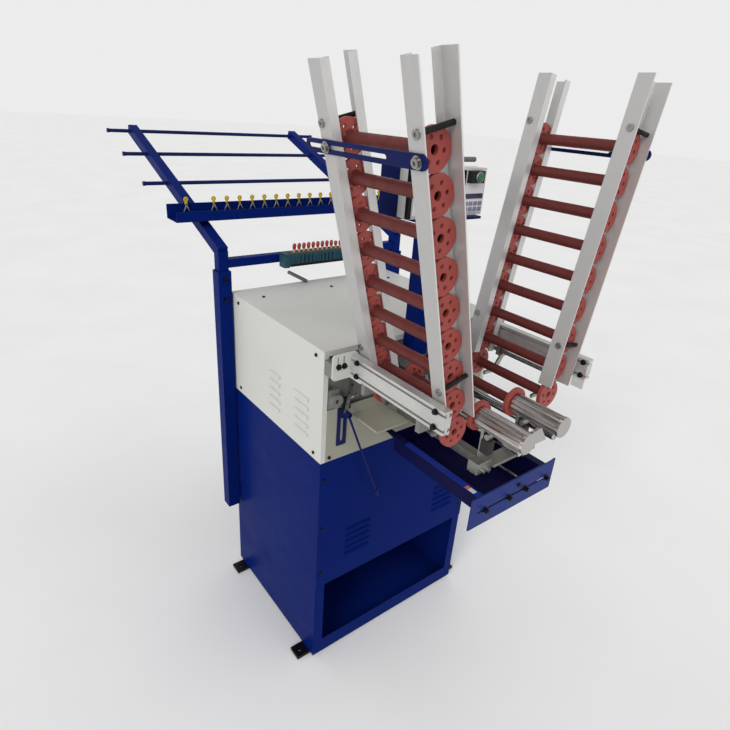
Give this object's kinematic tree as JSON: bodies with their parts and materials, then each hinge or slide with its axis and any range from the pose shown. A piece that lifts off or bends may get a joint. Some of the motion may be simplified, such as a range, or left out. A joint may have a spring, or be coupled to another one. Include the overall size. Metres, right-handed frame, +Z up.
{
  "type": "automatic bobbin winding machine",
  "caption": "Floor-standing bobbin winder: sheet cabinet, leaning bobbin magazines, winding spindles with tail cylinders, collecting tray, thread creel and control head.",
  "frame": {"origin": "on the floor under the middle of the cabinet, at the centre of the four anchor holes", "axes": "+Z up; -Y towards the operator, where the winding stations and the tray stand out; +X to the operator's right"},
  "size_m": [0.836, 1.6633, 1.6728],
  "materials": {
    "royal_blue": "gloss paint",
    "navy_blue": "satin paint",
    "tray_blue": "satin paint",
    "white_paint": "semi-gloss paint",
    "cream_paint": "semi-gloss paint",
    "guide_aluminium": "matt anodised",
    "rail_aluminium": "anodised extrusion",
    "turned_aluminium": "bright turned",
    "bright_steel": "ground and polished",
    "plate_steel": "milled",
    "zinc_steel": "zinc plated",
    "grey_casting": "bare casting",
    "motor_grey": "hammer paint",
    "coral_plastic": "moulded, slight sheen",
    "black_rubber": "matt",
    "belt_rubber": "matt",
    "teal_metal": "satin paint",
    "red_plastic": "gloss",
    "yellow_metal": "gloss paint",
    "dark_plastic": "matt",
    "green_plastic": "gloss",
    "grey_plastic": "matt",
    "black_steel": "black oxide"
  },
  "bodies": {
    "machine": {"lower_cabinet": "royal_blue", "front_panel": "royal_blue", "upper_cover": "white_paint", "cover_front_plate": "cream_paint", "foot_brackets": "black_steel", "machine_deck": "plate_steel", "spindle_frame_plate": "grey_casting", "spacer_blocks": "grey_casting", "headstocks": "grey_casting", "drive_motor": "motor_grey", "drive_belt": "belt_rubber", "fasteners": "black_steel", "magazine_screws": "zinc_steel", "rails": "rail_aluminium", "rail_brackets": "white_paint", "tie_bars": "navy_blue", "retaining_rods": "black_rubber", "left_magazine_guides": "guide_aluminium", "right_magazine_guides": "guide_aluminium", "release_bearings": "grey_casting", "lever_bracket": "navy_blue", "deck_brackets": "cream_paint", "tail_beams": "plate_steel", "tail_pedestals": "zinc_steel", "tail_clamps": "motor_grey", "tail_cylinders": "turned_aluminium", "guide_bars": "bright_steel", "collecting_tray": "tray_blue", "tray_front_plate": "tray_blue", "tray_tie_rod": "zinc_steel", "creel_posts": "royal_blue", "control_column": "royal_blue", "head_bracket": "navy_blue", "control_box": "white_paint", "switch_housing": "dark_plastic", "conduits": "grey_plastic"},
    "motor": {"motor_rotor": "bright_steel"},
    "left_spindle_unit": {"left_spindle": "bright_steel", "left_wound_bobbin": "coral_plastic"},
    "right_spindle_unit": {"right_spindle": "bright_steel", "right_wound_bobbin": "coral_plastic"},
    "left_tail": {"left_tail_centre": "bright_steel"},
    "right_tail": {"right_tail_centre": "bright_steel"},
    "left_traverse": {"left_traverse_carriage": "zinc_steel"},
    "right_traverse": {"right_traverse_carriage": "zinc_steel"},
    "left_stack": {"left_bobbin_stack": "coral_plastic"},
    "right_stack": {"right_bobbin_stack": "coral_plastic"},
    "left_top": {"left_top_bobbin": "coral_plastic"},
    "right_top": {"right_top_bobbin": "coral_plastic"},
    "left_release": {"left_release_shaft": "zinc_steel", "release_lever": "navy_blue"},
    "right_release": {"right_release_shaft": "zinc_steel"},
    "creel": {"creel_arms": "royal_blue", "creel_bars": "navy_blue", "guide_channel": "royal_blue", "thread_eyelets": "yellow_metal", "crossbar": "royal_blue", "tensioner_body": "teal_metal", "tension_knobs": "red_plastic"},
    "button": {"start_button": "green_plastic"}
  },
  "joints": [
    {"name": "left_spindle_spin", "type": "hinge", "parent": "machine", "child": "left_spindle_unit", "pos_m": [-0.063, 0, 0.9535], "axis": [0, 1, 0], "continuous": true},
    {"name": "right_spindle_spin", "type": "hinge", "parent": "machine", "child": "right_spindle_unit", "pos_m": [0.063, 0, 0.9535], "axis": [0, 1, 0], "continuous": true},
    {"name": "motor_spin", "type": "hinge", "parent": "machine", "child": "motor", "pos_m": [0, 0, 0.83], "axis": [0, 1, 0], "continuous": true},
    {"name": "left_tail_slide", "type": "slide", "parent": "machine", "child": "left_tail", "axis": [0, -1, 0], "range_m": [0, 0.031]},
    {"name": "right_tail_slide", "type": "slide", "parent": "machine", "child": "right_tail", "axis": [0, -1, 0], "range_m": [0, 0.031]},
    {"name": "left_traverse_slide", "type": "slide", "parent": "machine", "child": "left_traverse", "axis": [0, -1, 0], "range_m": [0, 0.18]},
    {"name": "right_traverse_slide", "type": "slide", "parent": "machine", "child": "right_traverse", "axis": [0, -1, 0], "range_m": [0, 0.18]},
    {"name": "left_stack_lift", "type": "slide", "parent": "machine", "child": "left_stack", "axis": [-0.2588, 0, 0.9659], "range_m": [0, 0.07]},
    {"name": "right_stack_lift", "type": "slide", "parent": "machine", "child": "right_stack", "axis": [0.1633, 0, 0.9866], "range_m": [0, 0.07]},
    {"name": "left_top_lift", "type": "slide", "parent": "left_stack", "child": "left_top", "axis": [-0.2588, 0, 0.9659], "range_m": [0, 0.175]},
    {"name": "right_top_lift", "type": "slide", "parent": "right_stack", "child": "right_top", "axis": [0.1633, 0, 0.9866], "range_m": [0, 0.175]},
    {"name": "left_release_turn", "type": "hinge", "parent": "machine", "child": "left_release", "pos_m": [-0.225, 0, 0.985], "axis": [0, 1, 0], "range_deg": [0, 25], "stiffness_Nm_per_rad": 1.2, "springref_deg": -20.05},
    {"name": "right_release_turn", "type": "hinge", "parent": "machine", "child": "right_release", "pos_m": [0.221, 0, 0.985], "axis": [0, -1, 0], "range_deg": [0, 25], "stiffness_Nm_per_rad": 1.2, "springref_deg": -20.05},
    {"name": "creel_height", "type": "slide", "parent": "machine", "child": "creel", "axis": [0, 0, 1], "range_m": [0, 0.15]},
    {"name": "button_press", "type": "slide", "parent": "machine", "child": "button", "axis": [0, 1, 0], "range_m": [0, 0.003], "stiffness_N_per_m": 250, "springref_m": -0.004}
  ],
  "couplings": [
    {"joint": "right_spindle_spin", "follows": "left_spindle_spin", "ratio": 1},
    {"joint": "motor_spin", "follows": "left_spindle_spin", "ratio": 1.2727}
  ]
}
